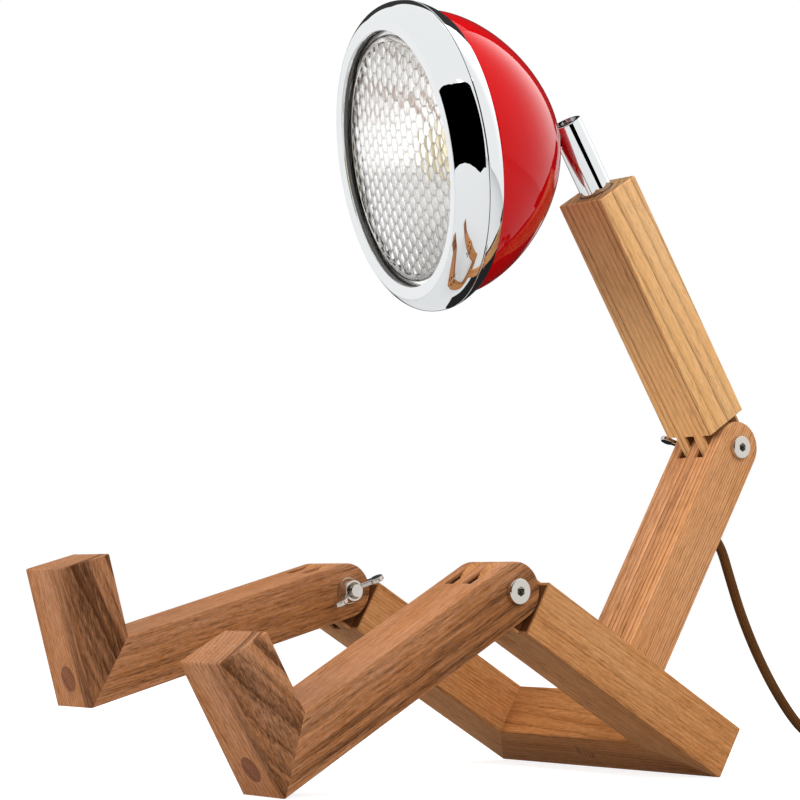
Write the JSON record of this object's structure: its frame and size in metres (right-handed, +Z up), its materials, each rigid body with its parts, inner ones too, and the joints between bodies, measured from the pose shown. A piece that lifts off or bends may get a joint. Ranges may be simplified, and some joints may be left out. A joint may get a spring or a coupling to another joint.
{
  "type": "robot shaped desk lamp",
  "caption": "Desk lamp shaped like a seated wooden figure, with knuckled knees and waist clamped by wing nuts, and a round enamelled lamp head on a swivelling neck.",
  "frame": {"origin": "on the table, under the middle of the lamp's box without its cord", "axes": "+Z up, -Y the way the figure faces, +X its left side"},
  "size_m": [0.1889, 0.5893, 0.3648],
  "materials": {
    "hip_wood": "oiled, satin",
    "leg_wood": "oiled, satin",
    "lower_torso_wood": "oiled, satin",
    "upper_torso_wood": "oiled, satin",
    "dowel_wood": "oiled, end grain",
    "nickel": "nickel plated",
    "steel": "turned, bright",
    "chrome": "polished",
    "enamel": "gloss enamel",
    "lens_glass": "pressed, clear",
    "bulb_glass": "frosted",
    "reflector_metal": "bright",
    "rubber": "matt",
    "nylon": "matt",
    "porcelain": "glazed",
    "cord_textile": "braided",
    "strap": "woven",
    "black_plastic": "fine satin",
    "pin_metal": "nickel plated brass"
  },
  "bodies": {
    "hips": {"pelvis_bar": "hip_wood", "thigh_left": "hip_wood", "thigh_right": "hip_wood", "torso_dowel": "dowel_wood", "lower_torso": "lower_torso_wood", "waist_bolt": "nickel", "waist_washer": "nickel", "cord_grommet": "rubber", "mains_cord": "cord_textile", "switch_lead": "cord_textile", "plug_lead": "cord_textile", "cord_coil": "cord_textile", "cord_tie": "strap", "switch_base": "black_plastic", "switch_cover": "black_plastic", "plug_body": "black_plastic", "plug_pins": "pin_metal"},
    "left_leg": {"shin_left": "leg_wood", "foot_left": "leg_wood", "foot_dowel_left": "dowel_wood", "knee_bolt_left": "nickel", "knee_washer_left": "nickel"},
    "right_leg": {"shin_right": "leg_wood", "foot_right": "leg_wood", "foot_dowel_right": "dowel_wood", "knee_bolt_right": "nickel", "knee_washer_right": "nickel"},
    "left_knee_nut": {"knee_wing_nut_left": "nickel"},
    "right_knee_nut": {"knee_wing_nut_right": "nickel"},
    "waist_nut": {"waist_wing_nut": "nickel"},
    "chest": {"upper_torso": "upper_torso_wood", "neck_bush": "nylon", "neck_grub_screw": "steel"},
    "neck": {"neck_tube": "chrome", "tilt_pin": "steel"},
    "head": {"head_stud": "steel", "stud_nut": "steel", "head_shell": "enamel", "clamp_band": "chrome", "trim_ring": "chrome", "lens_gasket": "rubber", "lens": "lens_glass", "reflector": "reflector_metal", "retaining_ring": "steel", "lamp_holder": "porcelain", "bulb": "bulb_glass"},
    "rocker": {"switch_rocker": "black_plastic"}
  },
  "joints": [
    {"name": "knee_left", "type": "hinge", "parent": "hips", "child": "left_leg", "pos_m": [0.06869, -0.02633, 0.08518], "axis": [1, 0, 0], "range_deg": [-60, 34]},
    {"name": "knee_right", "type": "hinge", "parent": "hips", "child": "right_leg", "pos_m": [-0.05931, -0.02633, 0.08518], "axis": [1, 0, 0], "range_deg": [-46, 48]},
    {"name": "waist", "type": "hinge", "parent": "hips", "child": "chest", "pos_m": [0.00469, 0.16762, 0.158], "axis": [1, 0, 0], "range_deg": [-60, 25]},
    {"name": "neck_swivel", "type": "hinge", "parent": "chest", "child": "neck", "pos_m": [0.00469, 0.08772, 0.28198], "axis": [0, -0.5417, 0.8406], "range_deg": [-75, 104]},
    {"name": "head_tilt", "type": "hinge", "parent": "neck", "child": "head", "pos_m": [0.00469, 0.07114, 0.3077], "axis": [0.9677, -0.2119, -0.1365], "range_deg": [-45, 18]},
    {"name": "left_knee_nut_turn", "type": "hinge", "parent": "left_leg", "child": "left_knee_nut", "pos_m": [0.06869, -0.02633, 0.08518], "axis": [1, 0, 0], "continuous": true},
    {"name": "right_knee_nut_turn", "type": "hinge", "parent": "right_leg", "child": "right_knee_nut", "pos_m": [-0.05931, -0.02633, 0.08518], "axis": [1, 0, 0], "continuous": true},
    {"name": "waist_nut_turn", "type": "hinge", "parent": "hips", "child": "waist_nut", "pos_m": [0.00469, 0.16762, 0.158], "axis": [1, 0, 0], "continuous": true},
    {"name": "switch_rock", "type": "hinge", "parent": "hips", "child": "rocker", "pos_m": [0.00469, 0.28917, 0.015], "axis": [1, 0, 0], "range_deg": [-14, 0]}
  ]
}
